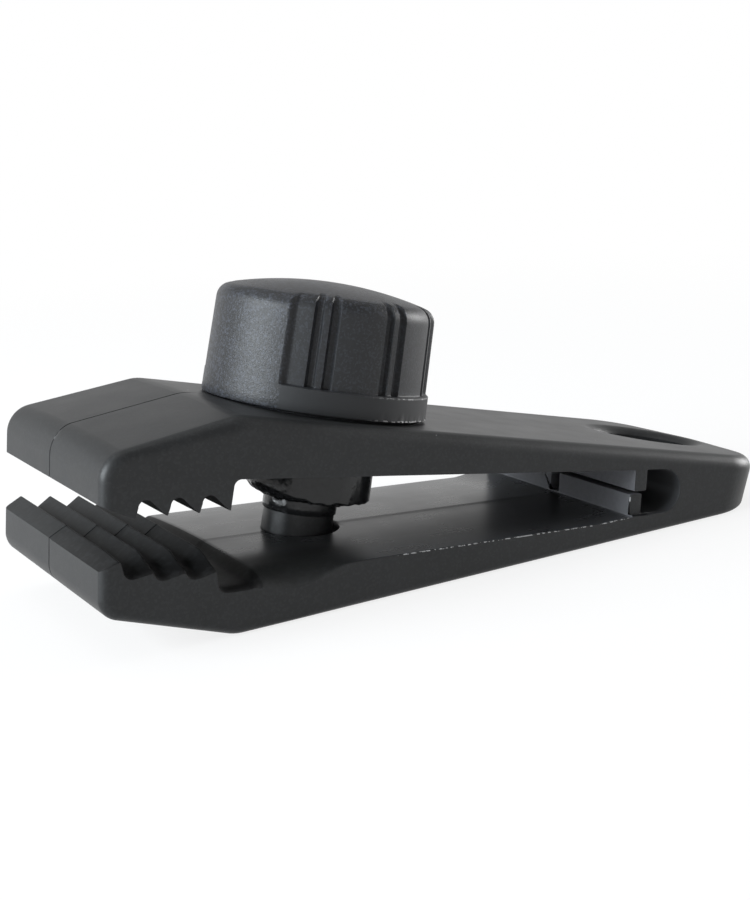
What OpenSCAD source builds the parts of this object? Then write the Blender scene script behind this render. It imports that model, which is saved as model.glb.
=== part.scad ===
// Tarp clip: a sprung moulding with two toothed jaws, drawn together by a hand knob.
// Drawn about the middle plane between the arms, then set down on the lower arm's outer face.

/* [Clip body] */
// Length from the nose to the tail end
clip_l = 89.2; // [88:0.5:110]
// Width across the jaws
clip_w = 30; // [28:1:40]
// Distance from the nose back to the outer ridge
ridge_x = 15.4; // [13:0.5:17]
// Height of each outer ridge above the middle plane
ridge_h = 11.05; // [10.5:0.1:13]
// Height of each nose's outer edge above the middle plane
nose_h = 7.9; // [6.5:0.1:9]
// Height of each outer face above the middle plane at the tail end, before its edge is rounded
tail_h = 2.51; // [2.3:0.01:3]
// Rounding of the long outer edges
edge_r = 1.6; // [0.8:0.1:2]
// Rounding of the nose's outer edge
nose_r = 2.4; // [1.8:0.1:3]
// Rounding of the outer ridge
ridge_r = 5; // [3:0.5:6]
// Radius of the tail's corners in plan
tail_corner_r = 7; // [5:0.5:9]
// How far the middle of the tail end stands out past its corners
tail_bow = 1.2; // [0.5:0.1:2]

/* [Gap between the arms] */
// Distance from the nose to the closed end of the gap
slot_l = 72; // [70:0.5:74]
// Half height of the gap at its closed, rounded end
slot_r = 2.6; // [2.2:0.1:2.8]
// Half height of the gap at the back of the jaws
jaw_back_h = 4.9; // [4.6:0.1:5.4]

/* [Jaws] */
// Height of each nose's inner edge above the middle plane
mouth_h = 3.2; // [2.8:0.1:3.6]
// Number of teeth on each jaw
tooth_count = 4; // [3:1:4]
// Distance from one tooth to the next
tooth_pitch = 3.35; // [3:0.05:3.5]
// Distance from the nose to the first crest of the lower jaw
first_crest = 1.95; // [1.8:0.05:2.4]
// How far the upper jaw's crests lie behind the lower jaw's
tooth_offset = 1.4; // [1.3:0.05:1.7]
// How far each crest overhangs towards the nose from the root behind it
tooth_rake = 0.3; // [0.1:0.05:0.5]
// Depth of the lower jaw's first crest below the middle plane
lower_crest_h = 1.95; // [1.9:0.05:2.4]
// How much deeper each crest of the lower jaw lies than the one in front of it
crest_fall = 0.22; // [0:0.02:0.3]
// Height of the upper jaw's crests above the middle plane
upper_crest_h = 1.8; // [1.7:0.1:2.2]
// Depth of the teeth from crest to root
tooth_depth = 1.8; // [1.4:0.1:2]
// Rounding at the roots of the teeth
root_r = 0.5; // [0.2:0.05:0.55]
// Distance from the nose to the front edge of the lower arm's floor
toe_x = 17; // [16:0.1:18]
// Depth of the hollow between the lower jaw's last tooth and that edge
toe_drop = 0.9; // [0.3:0.1:1.2]

/* [Tail] */
// Diameter of the rope eye
eye_d = 12.4; // [10:0.2:13]
// Solid wall between the rope eye and the tail end
eye_wall = 4.3; // [3.8:0.1:6]
// Rounding of the rope eye's rims
eye_rim_r = 1.8; // [0.5:0.1:2.2]
// Distance from the nose to the front of the guard ribs
rib_x = 65; // [62:0.5:65.5]
// Thickness of the guard ribs
rib_t = 1.8; // [1.2:0.1:2]
// Open height left between the two guard ribs
rib_gap = 0.6; // [0.5:0.1:1.2]
// Width of the slit through the middle of the guard ribs
rib_slit = 1.6; // [1:0.1:2.5]
// Distance from the nose to the line where the upper arm flexes
flex_x = 68.8; // [68.5:0.1:69.2]
// How far the parting's rounding goes beyond half the web's thickness
flex_lap = 0.58; // [0.4:0.02:0.8]
// Clearance at the parting
flex_gap = 0.06; // [0.04:0.01:0.1]
// Angle through which the jaws close, in degrees
close_angle = 3.4; // [2.5:0.1:3.6]

/* [Screw] */
// Distance from the nose to the screw on the upper arm's outer face
screw_x = 30.4; // [29:0.2:32]
// Diameter of the screw
screw_d = 8; // [7:0.5:8.5]
// Length of the screw below the knob
screw_l = 15.8; // [15.2:0.1:17.2]
// Chamfer at the screw's tip
tip_chamfer = 0.8; // [0.4:0.1:1.2]
// Width across the flats of the screw's head inside the knob
head_af = 13; // [11:0.5:14]
// Height of the screw's head
head_h = 5.3; // [4:0.1:6]
// Thickness of the knob under the screw's head
head_seat = 3.2; // [2.5:0.1:4]
// Radial clearance of the screw in the upper arm
shank_clear = 0.1; // [0.05:0.01:0.1]
// Radial room for the screw's tilt in the lower arm
thread_clear = 0.65; // [0.6:0.05:0.8]

/* [Retaining collar] */
// Diameter of the collar's body
collar_d = 14.6; // [13:0.2:15]
// Depth of the collar's lower edge below the upper arm's outer face
collar_bottom = 9; // [8.5:0.1:9.4]
// Rounding of the collar's lower edge
collar_round = 1.5; // [0.8:0.1:1.6]
// Diameter of the step under the collar
step_d = 10.9; // [10:0.1:11.5]
// Height of the step
step_h = 1.5; // [1.2:0.1:1.9]
// Diameter of the lip under the step
lip_d = 9; // [8.8:0.1:9.8]
// Height of the lip
lip_h = 1; // [0.6:0.1:1]
// Axial play between the collar and the upper arm
collar_play = 0.1; // [0.05:0.01:0.3]
// Room round the collar, and round and under its lip, in the recesses of the arms
recess_clear = 0.6; // [0.5:0.05:0.9]

/* [Knob] */
// Diameter of the knob
knob_d = 25.2; // [22:0.2:27]
// Height of the knob at its rim
knob_h = 12.5; // [11.5:0.1:16]
// Rise of the knob's crown above its rim
knob_crown = 1.75; // [0.5:0.1:3]
// Lean of the knob's side towards its top, in degrees
knob_draft = 1.5; // [0:0.5:3]
// Rounding of the knob's upper edge
knob_round = 1.5; // [0.8:0.1:2]
// Height of the skirt under the grip panels
skirt_h = 3; // [2:0.1:4]
// Depth of the grip panels below the smooth lobes
panel_depth = 0.6; // [0.4:0.05:1]
// Number of grip panels round the knob
panel_count = 2; // [1:1:3]
// Angle that each grip panel spans
panel_angle = 114; // [100:1:130]
// Number of ribbed grooves on each grip panel
groove_count = 3; // [2:1:3]
// Angle from one ribbed groove to the next
groove_step = 39.5; // [34:0.5:42]
// Width of a ribbed groove
groove_w = 2.5; // [2:0.1:3]
// Width of the rib in the middle of a groove
groove_rib_w = 0.75; // [0.5:0.05:1]
// Depth of the grooves below the panels
groove_depth = 0.7; // [0.4:0.05:1]
// Direction of the first smooth lobe's middle round the screw, in degrees
knob_turn = 11; // [0:1:180]

/* [Hidden] */
$fn = 64;
hull_fn = 32;
dome_fn = 128;
cut = 1;
far = 2 * clip_l;

half_w = clip_w / 2;
face_slope = (ridge_h - tail_h) / (clip_l - ridge_x);
face_angle = atan(face_slope);
bevel_angle = atan((ridge_h - nose_h) / ridge_x);
slot_c = slot_l - slot_r;
gap_slope = (jaw_back_h - slot_r) / (slot_c - ridge_x);

// Half heights of the outside and of the gap, at a distance from the nose
function outer_h(x) = ridge_h - face_slope * (x - ridge_x);
function gap_h(x) = slot_r + gap_slope * (slot_c - x);

// The moulding's plan at the tail
corner_x = clip_l - tail_bow - tail_corner_r;
corner_y = half_w - tail_corner_r;
bow_r = half_w - edge_r;
bow_x = clip_l - bow_r;

// The upper arm's flexing line, in the middle of its thin web
flex_h = (outer_h(flex_x) + gap_h(flex_x)) / 2;
flex_r = (outer_h(flex_x) - gap_h(flex_x)) / 2 + flex_lap;

// The rope eye
eye_x = clip_l - eye_wall - eye_d / 2;
// Each rim lies on a slanted face, so its rounding runs this far into the upright bore,
// and a little way out of the face
eye_rim_lap = 2 * eye_rim_r * face_slope;
eye_rim_rise = eye_rim_lap / 8;
eye_rim_out = eye_d / 2 + eye_rim_r - eye_rim_lap;

// The screw's levels below the upper arm's outer face
screw_h = outer_h(screw_x);
collar_seat = (outer_h(screw_x + collar_d / 2) - gap_h(screw_x + collar_d / 2)) * cos(face_angle)
    - collar_play;
collar_top = collar_seat + collar_play;
step_bottom = collar_bottom + step_h;
lip_bottom = step_bottom + lip_h;
screw_reach = (flex_x - screw_x) / cos(face_angle);
screw_travel = screw_reach * close_angle * PI / 180;
recess_floor = lip_bottom + screw_travel / 2 + recess_clear;

// The clip lies on the lower arm's outer face, with the origin under the middle of its box
rest_h = ridge_x * sin(face_angle) + ridge_h * cos(face_angle);
nose_c = nose_h + nose_r * tan(bevel_angle) - nose_r / cos(bevel_angle);
box_front = nose_r * cos(face_angle) - nose_c * sin(face_angle) - nose_r;
tail_ring_h = outer_h(bow_x) - edge_r / cos(face_angle);
box_back = bow_x * cos(face_angle) + tail_ring_h * sin(face_angle)
    + (bow_r - edge_r) * cos(2 * face_angle) + edge_r;
box_middle = (box_front + box_back) / 2;

module at_rest() {
    translate([-box_middle, 0, rest_h]) rotate([0, face_angle, 0]) children();
}

// The screw's own frame: its origin on the upper arm's outer face, +Z out through the knob
module on_screw() {
    translate([screw_x, 0, screw_h]) rotate([0, face_angle, 0]) children();
}

// The screw's frame with the jaws half way closed, along which the lower arm is bored
module on_screw_half_closed() {
    translate([flex_x, 0, flex_h]) rotate([0, -close_angle / 2, 0])
        translate([-flex_x, 0, -flex_h]) on_screw() children();
}

// A flat outline in X and Z, drawn through the width
module across(w) {
    rotate([90, 0, 0]) linear_extrude(w, center = true) children();
}

// A bar across the clip with rounded ends
module rounded_bar(r, end_r) {
    rotate([90, 0, 0]) rotate_extrude($fn = hull_fn) intersection() {
        translate([0, -half_w]) square([r, clip_w]);
        hull() for (end = [-1, 1])
            translate([r - end_r, end * (half_w - end_r)]) circle(end_r, $fn = hull_fn);
    }
}

module ring(r, tube_r) {
    rotate_extrude($fn = hull_fn) translate([r, 0]) circle(tube_r, $fn = hull_fn);
}

// The outside of the whole moulding, before the gap is taken out
module blank() {
    hull() for (up = [-1, 1]) {
        translate([nose_r, 0, up * nose_c]) rounded_bar(nose_r, edge_r);
        translate([ridge_x - ridge_r * sin(face_angle), 0, up * (ridge_h - ridge_r * cos(face_angle))])
            rounded_bar(ridge_r, edge_r);
        for (side = [-1, 1])
            translate([corner_x, side * corner_y, up * (outer_h(corner_x) - edge_r / cos(face_angle))])
                rotate([0, up * face_angle, 0]) ring(tail_corner_r - edge_r, edge_r);
        translate([bow_x, 0, up * tail_ring_h])
            rotate([0, up * face_angle, 0]) ring(bow_r - edge_r, edge_r);
    }
}

// Outline of the gap on one side of the middle plane: the teeth, the last root and the long face
module half_gap(first, crest_h, fall, drop) {
    last = tooth_count - 1;
    function tooth_x(i) = first + i * tooth_pitch;
    function tooth_h(i) = crest_h + i * fall;
    function root_x(i) = tooth_x(i) + tooth_rake;
    function root_h(i) = i < last ? tooth_h(i) + tooth_depth : gap_h(root_x(i)) + drop;
    polygon([
        [-cut, -cut],
        [-cut, mouth_h],
        [0, mouth_h],
        for (i = [0:last]) each [
            [tooth_x(i), tooth_h(i)],
            [root_x(i), root_h(i) - root_r],
            [root_x(i) + root_r, root_h(i)]
        ],
        [toe_x - drop, gap_h(toe_x - drop) + drop],
        [toe_x, gap_h(toe_x)],
        [slot_c, slot_r],
        [slot_c, -cut]
    ]);
    for (i = [0:last])
        translate([root_x(i) + root_r, root_h(i) - root_r]) circle(root_r);
    translate([slot_c, 0]) circle(slot_r);
}

// The part of the outline that belongs to the upper arm, up to its flexing line
module upper_share() {
    translate([-cut, 0]) square([flex_x + cut, far]);
    intersection() {
        translate([flex_x, flex_h]) circle(flex_r);
        translate([0, gap_h(flex_x) - cut]) square([far, far]);
    }
}

// Outline of the upper arm's guard rib
module guard_rib() {
    translate([rib_x, rib_gap / 2]) square([rib_t, gap_h(rib_x)]);
}

module rib_slit_cut() {
    translate([rib_x - cut / 2, -rib_slit / 2, -slot_r]) cube([rib_t + cut, rib_slit, 2 * slot_r]);
}

// The rope eye with a rounded rim on each outer face
module eye_cut() {
    translate([eye_x, 0, -far / 2]) cylinder(d = eye_d, h = far);
    for (up = [0, 1]) mirror([0, 0, up]) translate([eye_x, 0, outer_h(eye_x)])
        rotate([0, face_angle, 0]) translate([0, 0, eye_rim_rise - eye_rim_r]) rotate_extrude() difference() {
            square([eye_rim_out, eye_rim_r + cut]);
            translate([eye_rim_out, 0]) circle(eye_rim_r);
        }
}

module lower_arm() {
    color([0.1, 0.1, 0.11]) at_rest() difference() {
        intersection() {
            blank();
            across(far) difference() {
                translate([-cut, -far / 2]) square([far, far]);
                difference() {
                    union() {
                        half_gap(first_crest + tooth_offset, upper_crest_h, 0, 0);
                        mirror([0, 1]) half_gap(first_crest, lower_crest_h, crest_fall, toe_drop);
                        translate([-cut, 0]) square([flex_x + cut, far]);
                        translate([flex_x, flex_h]) circle(flex_r + flex_gap);
                    }
                    mirror([0, 1]) guard_rib();
                }
            }
        }
        rib_slit_cut();
        eye_cut();
        on_screw_half_closed() {
            translate([0, 0, -far]) cylinder(r = screw_d / 2 + thread_clear, h = far - recess_floor + cut);
            translate([0, 0, -recess_floor])
                cylinder(r = lip_d / 2 + recess_clear, h = recess_floor - collar_bottom);
        }
    }
}

module upper_arm() {
    color([0.1, 0.1, 0.11]) at_rest() difference() {
        intersection() {
            blank();
            across(far) difference() {
                upper_share();
                difference() {
                    half_gap(first_crest + tooth_offset, upper_crest_h, 0, 0);
                    guard_rib();
                }
            }
        }
        rib_slit_cut();
        on_screw() {
            translate([0, 0, -far / 2]) cylinder(r = screw_d / 2 + shank_clear, h = far);
            translate([0, 0, -collar_bottom])
                cylinder(r = collar_d / 2 + recess_clear, h = collar_bottom - collar_seat);
        }
    }
}

// A slice of a ring, open outwards, for the grip panels
module sector(angle, r) {
    steps = 6;
    polygon([
        [0, 0],
        for (i = [0:steps]) r * [cos(angle * (i / steps - 0.5)), sin(angle * (i / steps - 0.5))]
    ]);
}

module knob_blank() {
    r = knob_d / 2;
    round_r = r - knob_h * tan(knob_draft) - knob_round;
    dome_r = (pow(round_r, 2) + pow(knob_crown, 2)) / (2 * knob_crown);
    intersection() {
        rotate_extrude() {
            polygon([[0, 0], [r, 0], [round_r + knob_round, knob_h - knob_round], [0, knob_h - knob_round]]);
            square([round_r, knob_h + knob_crown]);
            translate([round_r, knob_h - knob_round]) circle(knob_round);
        }
        translate([0, 0, knob_h + knob_crown - dome_r]) sphere(dome_r, $fn = dome_fn);
    }
}

// One grip panel: cut back between two lobes, with ribbed grooves, above the skirt
module grip_panel_cut() {
    panel_r = knob_d / 2 - skirt_h * tan(knob_draft) - panel_depth;
    translate([0, 0, skirt_h]) {
        difference() {
            linear_extrude(knob_h) sector(panel_angle, knob_d);
            cylinder(r1 = panel_r, r2 = panel_r - knob_h * tan(knob_draft), h = knob_h);
        }
        for (i = [0:groove_count - 1])
            rotate([0, 0, (i - (groove_count - 1) / 2) * groove_step])
                for (side = [-1, 1])
                    translate([panel_r - groove_depth, side * (groove_w + groove_rib_w) / 4, 0])
                        rotate([0, -knob_draft, 0]) translate([0, -(groove_w - groove_rib_w) / 4, 0])
                            cube([knob_d, (groove_w - groove_rib_w) / 2, 2 * knob_h]);
    }
}

module knob() {
    color([0.13, 0.13, 0.14]) at_rest() on_screw() difference() {
        rotate([0, 0, knob_turn]) difference() {
            knob_blank();
            for (i = [0:panel_count - 1])
                rotate([0, 0, (i + 0.5) * 360 / panel_count]) grip_panel_cut();
        }
        translate([0, 0, -cut]) cylinder(d = screw_d, h = head_seat + 2 * cut);
        translate([0, 0, head_seat]) cylinder(d = head_af / cos(30), h = head_h, $fn = 6);
    }
}

module clamp_screw() {
    color([0.16, 0.16, 0.17]) at_rest() on_screw() {
        translate([0, 0, head_seat]) cylinder(d = head_af / cos(30), h = head_h, $fn = 6);
        rotate_extrude() polygon([
            [0, -screw_l],
            [screw_d / 2 - tip_chamfer, -screw_l],
            [screw_d / 2, -screw_l + tip_chamfer],
            [screw_d / 2, head_seat + cut],
            [0, head_seat + cut]
        ]);
    }
}

module retaining_collar() {
    color([0.07, 0.07, 0.08]) at_rest() on_screw() difference() {
        rotate_extrude() {
            translate([0, -collar_bottom + collar_round])
                square([collar_d / 2, collar_bottom - collar_round - collar_top]);
            translate([0, -collar_bottom]) square([collar_d / 2 - collar_round, collar_round]);
            translate([collar_d / 2 - collar_round, -collar_bottom + collar_round]) circle(collar_round);
            translate([0, -step_bottom]) square([step_d / 2, step_h]);
            translate([0, -lip_bottom]) square([lip_d / 2, lip_h]);
        }
        translate([0, 0, -far]) cylinder(d = screw_d, h = 2 * far);
    }
}

lower_arm();
upper_arm();
knob();
clamp_screw();
retaining_collar();
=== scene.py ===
import math

import bmesh
import bpy
from mathutils import Matrix, Vector, noise


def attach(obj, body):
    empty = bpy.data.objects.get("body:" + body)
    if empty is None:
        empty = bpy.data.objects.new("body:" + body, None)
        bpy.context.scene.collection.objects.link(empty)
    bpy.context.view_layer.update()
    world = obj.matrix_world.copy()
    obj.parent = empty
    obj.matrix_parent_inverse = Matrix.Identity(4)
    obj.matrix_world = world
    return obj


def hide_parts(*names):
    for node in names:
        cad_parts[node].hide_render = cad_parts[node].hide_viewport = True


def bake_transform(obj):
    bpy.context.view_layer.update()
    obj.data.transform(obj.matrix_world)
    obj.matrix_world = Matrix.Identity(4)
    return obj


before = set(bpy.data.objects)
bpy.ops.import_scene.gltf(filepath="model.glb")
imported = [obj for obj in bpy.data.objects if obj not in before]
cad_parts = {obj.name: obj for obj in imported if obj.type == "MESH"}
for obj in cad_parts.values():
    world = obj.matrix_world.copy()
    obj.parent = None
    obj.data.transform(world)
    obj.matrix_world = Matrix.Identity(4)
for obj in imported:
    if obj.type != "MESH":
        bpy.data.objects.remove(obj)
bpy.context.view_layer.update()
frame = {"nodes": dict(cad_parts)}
scene = bpy.context.scene
print("frame loaded:", ", ".join(frame["nodes"]))

mm = 0.001
weld = 1e-4    # vertices closer than this, in millimetres, are merged
onCut = 1e-5   # and those closer than this to a slice count as on it

# How finely round shapes are stepped
fineness = {
    "corner": 12, "bar": 72, "tube": 24, "ring": 96, "hole": 96, "rim": 128, "rimArc": 10,
    "slot": 20, "soft": 9, "root": 8, "crisp": 2,
}


# Curves and angles
def smooth(value, low, high):
    t = min(1.0, max(0.0, (value - low) / (high - low)))
    return t * t * (3 - 2 * t)


def arc(centreX, centreH, radius, start, end, steps):
    angles = [math.radians(start + (end - start) * i / steps) for i in range(steps + 1)]
    return [(centreX + radius * math.cos(a), centreH + radius * math.sin(a)) for a in angles]


# A corner drawn as a short curve that starts and ends this far from it
def softCorner(before, corner, after, reach):
    before, corner, after = Vector(before), Vector(corner), Vector(after)
    start = corner + (before - corner).normalized() * reach
    end = corner + (after - corner).normalized() * reach
    curve = []
    for i in range(fineness["soft"] + 1):
        t = i / fineness["soft"]
        curve.append(tuple(start * (1 - t) ** 2 + corner * 2 * t * (1 - t) + end * t ** 2))
    return curve


# The turn from one direction to another, in degrees between -180 and 180
def turnFrom(start, angle):
    return (angle - start + 180) % 360 - 180


# Mesh helpers
def meshObject(name, bm):
    mesh = bpy.data.meshes.new(name)
    bm.to_mesh(mesh)
    bm.free()
    obj = bpy.data.objects.new(name, mesh)
    scene.collection.objects.link(obj)
    return obj


def bakeModifiers(obj):
    bpy.context.view_layer.update()
    graph = bpy.context.evaluated_depsgraph_get()
    baked = bpy.data.meshes.new_from_object(obj.evaluated_get(graph), depsgraph=graph)
    obj.modifiers.clear()
    obj.data = baked


def roundEdges(bm, edges, offset, segments):
    bmesh.ops.bevel(bm, geom=edges, offset=offset, offset_type="OFFSET", segments=segments,
                    profile=0.5, affect="EDGES", clamp_overlap=False, material=-1)


def cutAcross(bm, point, normal):
    geom = bm.verts[:] + bm.edges[:] + bm.faces[:]
    bmesh.ops.bisect_plane(bm, geom=geom, dist=onCut, plane_co=point, plane_no=normal)


def facesOut(bm):
    bmesh.ops.recalc_face_normals(bm, faces=bm.faces[:])


def spinLine(bm, line, axis, centre, steps):
    edges = [bm.edges.new(pair) for pair in zip(line, line[1:])]
    bmesh.ops.spin(bm, geom=line + edges, axis=axis, cent=centre, dvec=(0, 0, 0),
                   angle=2 * math.pi, steps=steps, use_merge=True)


# A closed turning round Z from points of radius and height
def spinProfile(points, segments):
    bm = bmesh.new()
    spinLine(bm, [bm.verts.new((r, 0, h)) for r, h in points], (0, 0, 1), (0, 0, 0), segments)
    bmesh.ops.remove_doubles(bm, verts=bm.verts[:], dist=weld)
    facesOut(bm)
    return bm


# A wall grown ring by ring round Z, where sectionAt gives every ring's radius and height at an angle
def growRings(bm, segments, sectionAt, paint=None):
    bmesh.ops.create_circle(bm, cap_ends=False, segments=segments, radius=1)
    first = loop = bm.edges[:]
    level = bm.verts[:]
    sections = {}
    for ring in range(len(sectionAt(0))):
        if ring:
            grown = bmesh.ops.extrude_edge_only(bm, edges=loop)["geom"]
            loop = [e for e in grown if isinstance(e, bmesh.types.BMEdge) and e.is_boundary]
            level = list({v for e in loop for v in e.verts})
        for v in level:
            step = round(math.atan2(v.co.y, v.co.x) / (2 * math.pi) * segments)
            angle = 360 * step / segments
            if step not in sections:
                sections[step] = sectionAt(angle)
            r, h = sections[step][ring]
            v.co = (r * math.cos(math.radians(angle)), r * math.sin(math.radians(angle)), h)
            if paint:
                paint(v, ring, angle)
    return first, loop


# The finished object: put in place, given its materials and shaded smooth up to an angle in degrees
def finishPiece(name, bm, place, materials, sharpAngle):
    bmesh.ops.transform(bm, matrix=place, verts=bm.verts[:])
    obj = meshObject(name, bm)
    for material in materials:
        obj.data.materials.append(material)
    for face in obj.data.polygons:
        face.use_smooth = True
    obj.data.set_sharp_from_angle(angle=math.radians(sharpAngle))
    weighted = obj.modifiers.new("flatFaces", "WEIGHTED_NORMAL")
    weighted.mode = "FACE_AREA"
    weighted.weight = 50
    weighted.keep_sharp = True
    bakeModifiers(obj)
    return obj


# Shader helpers
def shaderGroup(name, inputs, outputs):
    group = bpy.data.node_groups.new(name, "ShaderNodeTree")
    for socket, value in inputs:
        made = group.interface.new_socket(socket, in_out="INPUT", socket_type="NodeSocketFloat")
        made.default_value = value
    for socket in outputs:
        group.interface.new_socket(socket, in_out="OUTPUT", socket_type="NodeSocketFloat")
    return group, addNode(group, "NodeGroupInput").outputs, addNode(group, "NodeGroupOutput").inputs


def addNode(tree, kind, **values):
    node = tree.nodes.new(kind)
    for key, value in values.items():
        setattr(node, key, value)
    return node


def feed(tree, value, socket):
    if isinstance(value, (int, float)):
        socket.default_value = value
    elif isinstance(value, tuple):
        socket.default_value = (*value, 1)
    else:
        tree.links.new(value, socket)


def mathNode(tree, operation, *values):
    node = addNode(tree, "ShaderNodeMath", operation=operation)
    for index, value in enumerate(values):
        feed(tree, value, node.inputs[index])
    return node.outputs[0]


def rampNode(tree, value, low, high):
    node = addNode(tree, "ShaderNodeMapRange", interpolation_type="SMOOTHSTEP", clamp=True)
    feed(tree, value, node.inputs["Value"])
    node.inputs["From Min"].default_value = low
    node.inputs["From Max"].default_value = high
    return node.outputs["Result"]


def mixColour(tree, factor, a, b):
    node = addNode(tree, "ShaderNodeMix", data_type="RGBA")
    sockets = [s for s in node.inputs if s.enabled]
    for socket, value in zip(sockets, (factor, a, b)):
        feed(tree, value, socket)
    return [s for s in node.outputs if s.enabled][0]


def objectPlace(tree):
    return addNode(tree, "ShaderNodeTexCoord").outputs["Object"]


def noiseNode(tree, place, size, detail):
    node = addNode(tree, "ShaderNodeTexNoise", noise_dimensions="3D")
    node.inputs["Detail"].default_value = detail
    feed(tree, place, node.inputs["Vector"])
    feed(tree, mathNode(tree, "DIVIDE", 1.0, size), node.inputs["Scale"])
    return node.outputs["Fac"]


# Cells of about a size: the distance to each cell's point, and each cell's own random colour
def cellNode(tree, place, fill, size):
    node = addNode(tree, "ShaderNodeTexVoronoi", feature="F1")
    feed(tree, place, node.inputs["Vector"])
    feed(tree, mathNode(tree, "DIVIDE", fill, size), node.inputs["Scale"])
    split = addNode(tree, "ShaderNodeSeparateColor")
    feed(tree, node.outputs["Color"], split.inputs["Color"])
    return node.outputs["Distance"], split.outputs


# Spark-eroded grain: a rough height, bright flecks and slow patches, at sizes given in metres
def makeGrainGroup():
    group, given, made = shaderGroup("sparkGrain", [("Grain Size", 0.0003), ("Patch Size", 0.004)],
                                     ["Height", "Fleck", "Patch"])
    cellFill, cellHeight, fleckFrom = 0.8, 0.35, 0.45
    place = objectPlace(group)
    fine = noiseNode(group, place, given["Grain Size"], 2)
    chance = cellNode(group, place, cellFill, given["Grain Size"])[1]
    coarse = mathNode(group, "MULTIPLY", chance["Green"], cellHeight)
    feed(group, mathNode(group, "ADD", fine, coarse), made["Height"])
    feed(group, rampNode(group, chance["Red"], fleckFrom, 1.0), made["Fleck"])
    feed(group, noiseNode(group, place, given["Patch Size"], 3), made["Patch"])
    return group


# Streaks along the clip, as tool marks leave on a polished face
def makeStreakGroup():
    group, given, made = shaderGroup("toolStreaks", [("Streak Width", 0.0006), ("Stretch", 0.06)], ["Streak"])
    place = objectPlace(group)
    drawn = addNode(group, "ShaderNodeVectorMath", operation="MULTIPLY")
    along = addNode(group, "ShaderNodeCombineXYZ")
    feed(group, given["Stretch"], along.inputs["X"])
    along.inputs["Y"].default_value = 1
    along.inputs["Z"].default_value = 1
    feed(group, place, drawn.inputs[0])
    feed(group, along.outputs["Vector"], drawn.inputs[1])
    feed(group, noiseNode(group, drawn.outputs["Vector"], given["Streak Width"], 3), made["Streak"])
    return group


# Loose dust: a few small pale specks
def makeDustGroup():
    group, given, made = shaderGroup("looseDust", [("Spacing", 0.0022), ("Share", 0.2)], ["Speck"])
    speckEdge, speckCore = 0.07, 0.03
    place = objectPlace(group)
    distance, chance = cellNode(group, place, 1.0, given["Spacing"])
    near = rampNode(group, distance, speckEdge, speckCore)
    chosen = mathNode(group, "LESS_THAN", chance["Red"], given["Share"])
    feed(group, mathNode(group, "MULTIPLY", near, chosen), made["Speck"])
    return group


# Where the inner faces are matte, and where painted light and shade go on them, in metres: the teeth, the
# ribs, and the floor's near front corner
matteAndPaintedLightZones = {
    "jawEnd": -0.0275, "ribStart": 0.0198, "ribEnd": 0.0226,
    # the near teeth get painted shade, nearLeast of it along the middle
    "nearLeast": 0.5,   # share of the near teeth's colour along the middle
    "cornerX": (-0.013, -0.0185), "cornerY": (-0.006, -0.0105), "nearTeethY": (-0.001, -0.012),
}


def makeMatteAndPaintedLightGroup():
    limits = [("Jaw End", matteAndPaintedLightZones["jawEnd"]), ("Rib Start", matteAndPaintedLightZones["ribStart"]),
              ("Rib End", matteAndPaintedLightZones["ribEnd"])]
    group, given, made = shaderGroup("matteAndPaintedLightParts", limits, ["Matte", "Jaw", "Near", "Ribs", "Corner"])
    split = addNode(group, "ShaderNodeSeparateXYZ")
    feed(group, objectPlace(group), split.inputs["Vector"])
    x, y = split.outputs["X"], split.outputs["Y"]
    behind = mathNode(group, "GREATER_THAN", x, given["Rib Start"])
    ahead = mathNode(group, "LESS_THAN", x, given["Jaw End"])
    # the floor's near front corner, which gets painted shade
    corner = mathNode(group, "MULTIPLY", rampNode(group, x, *matteAndPaintedLightZones["cornerX"]),
                      rampNode(group, y, *matteAndPaintedLightZones["cornerY"]))
    ends = mathNode(group, "MAXIMUM", behind, ahead)
    feed(group, mathNode(group, "MAXIMUM", ends, corner), made["Matte"])
    feed(group, ahead, made["Jaw"])
    # Ribs: where the rib faces get painted light
    before = mathNode(group, "LESS_THAN", x, given["Rib End"])
    feed(group, mathNode(group, "MULTIPLY", behind, before), made["Ribs"])
    feed(group, corner, made["Corner"])
    # Near: where the near half of the teeth gets painted shade
    least = matteAndPaintedLightZones["nearLeast"]
    near = mathNode(group, "MULTIPLY_ADD", rampNode(group, y, *matteAndPaintedLightZones["nearTeethY"]), 1 - least, least)
    feed(group, mathNode(group, "MULTIPLY", near, mathNode(group, "LESS_THAN", y, 0.0)), made["Near"])
    return group


# Moulding flash with a painted highlight: broken pale glints painted into the colour where the piece's own
# flash attribute marks a rim
def makeFlashGlintGroup():
    group, given, made = shaderGroup("flashPaintedGlint", [("Dash Size", 0.0006), ("Cover", 0.5)], ["Glint"])
    marked = addNode(group, "ShaderNodeAttribute", attribute_name="flash").outputs["Fac"]
    place = objectPlace(group)
    dashes = noiseNode(group, place, given["Dash Size"], 2)
    edge = mathNode(group, "SUBTRACT", 1.0, given["Cover"])
    shown = mathNode(group, "GREATER_THAN", dashes, edge)
    feed(group, mathNode(group, "MULTIPLY", marked, shown), made["Glint"])
    return group


grainGroup = makeGrainGroup()
streakGroup = makeStreakGroup()
matteAndPaintedLightGroup = makeMatteAndPaintedLightGroup()
dustGroup = makeDustGroup()
flashGlintGroup = makeFlashGlintGroup()


def placeGroup(tree, group, **values):
    node = addNode(tree, "ShaderNodeGroup", node_tree=group)
    for socket, value in values.items():
        node.inputs[socket.replace("_", " ")].default_value = value
    return node.outputs


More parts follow.
